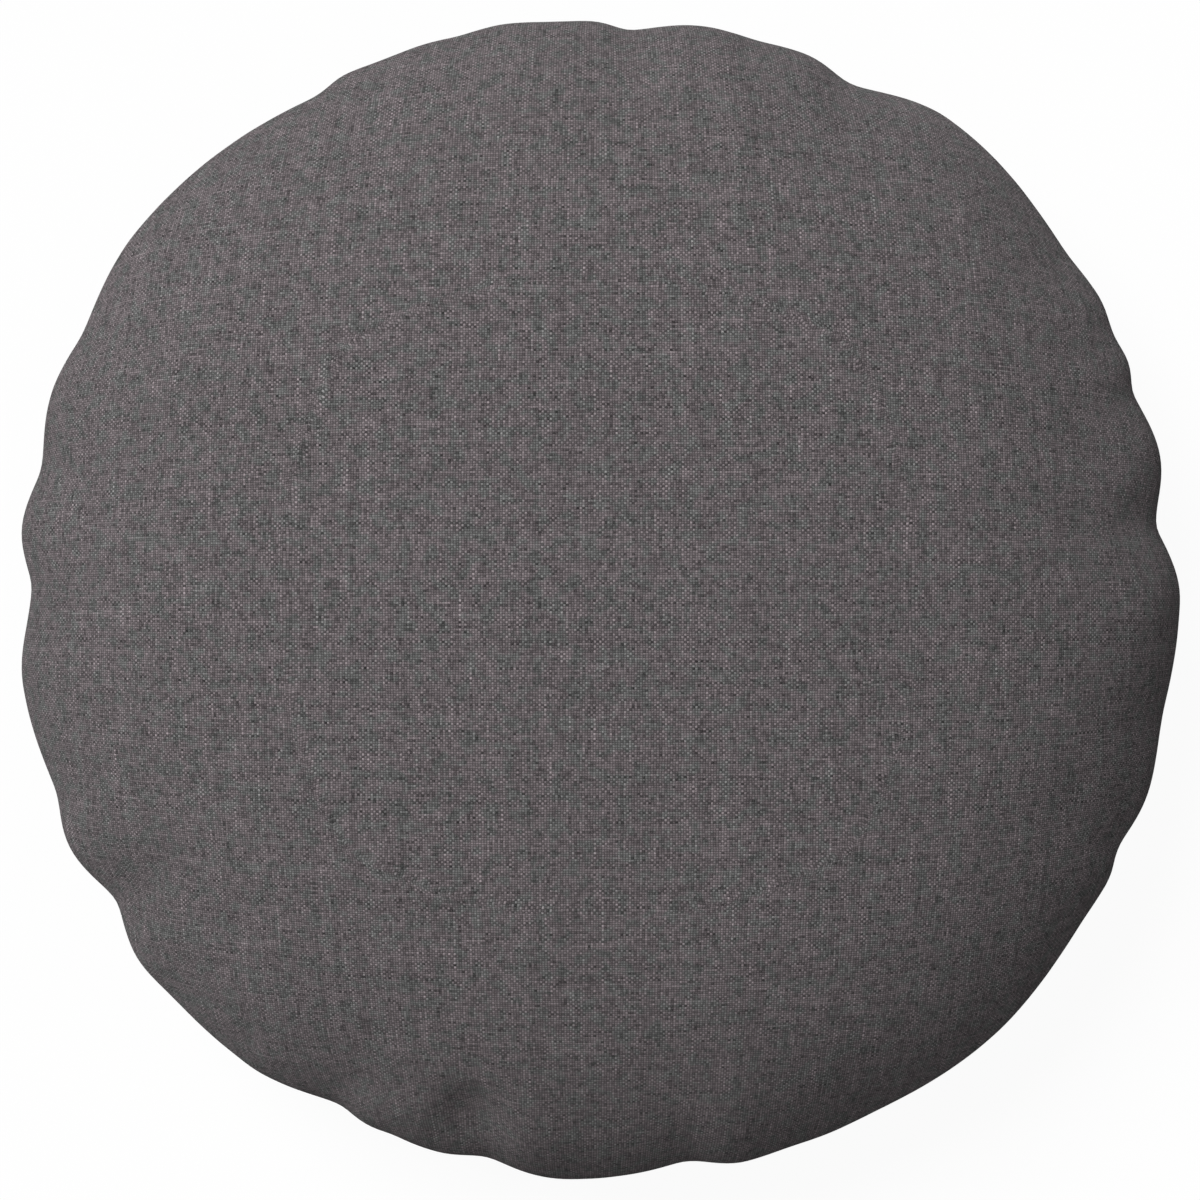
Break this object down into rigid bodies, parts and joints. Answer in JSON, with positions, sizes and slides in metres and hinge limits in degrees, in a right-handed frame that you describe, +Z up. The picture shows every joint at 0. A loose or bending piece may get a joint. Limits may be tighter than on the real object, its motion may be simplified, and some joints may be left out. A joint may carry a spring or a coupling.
{
  "type": "floor cushion",
  "caption": "Round floor cushion with a heathered plain-weave cover, gathered edge seam, underside coil zip and a fibre-filled inner pad.",
  "frame": {"origin": "centre of the flat underside, on the surface that the cushion rests on", "axes": "+Z up through the crown; X along the zip, which closes towards +X; +Y is the top of the plan view"},
  "size_m": [0.66, 0.66, 0.195],
  "materials": {
    "cover_cloth": "matt heathered plain weave, mid grey with a slight mauve cast",
    "thread": "spun polyester sewing thread, grey",
    "zip_tape": "woven polyester tape, dark grey",
    "zip_coil": "nylon monofilament coil, semi-matt",
    "zip_metal": "nickel-plated zinc, satin",
    "label_tape": "satin label tape, blank",
    "liner_cloth": "light cotton-mix liner, matt",
    "liner_thread": "spun polyester sewing thread, off-white",
    "fibre": "loose white polyester fibre"
  },
  "bodies": {
    "cushion": {"cover_top_panel": "cover_cloth", "cover_bottom_panel_front": "cover_cloth", "cover_bottom_panel_rear": "cover_cloth", "edge_seam_thread": "thread", "edge_overlock_thread": "thread", "centre_seam_thread": "thread", "zip_tape_front": "zip_tape", "zip_tape_rear": "zip_tape", "zip_coil_front": "zip_coil", "zip_coil_rear": "zip_coil", "zip_top_stops": "zip_metal", "zip_bottom_stop": "zip_metal", "zip_topstitch_thread": "thread", "care_label": "label_tape", "insert_top_panel": "liner_cloth", "insert_bottom_panel": "liner_cloth", "insert_seam_thread": "liner_thread", "fibre_fill": "fibre"},
    "slider": {"zip_slider": "zip_metal"},
    "pull": {"zip_pull": "zip_metal"}
  },
  "joints": [
    {"name": "zip_travel", "type": "slide", "parent": "cushion", "child": "slider", "axis": [-1, 0, 0], "range_m": [0, 0.318]},
    {"name": "pull_swing", "type": "hinge", "parent": "slider", "child": "pull", "pos_m": [0.1592, 0, 0.00525], "axis": [0, -1, 0], "range_deg": [0, 180]}
  ]
}
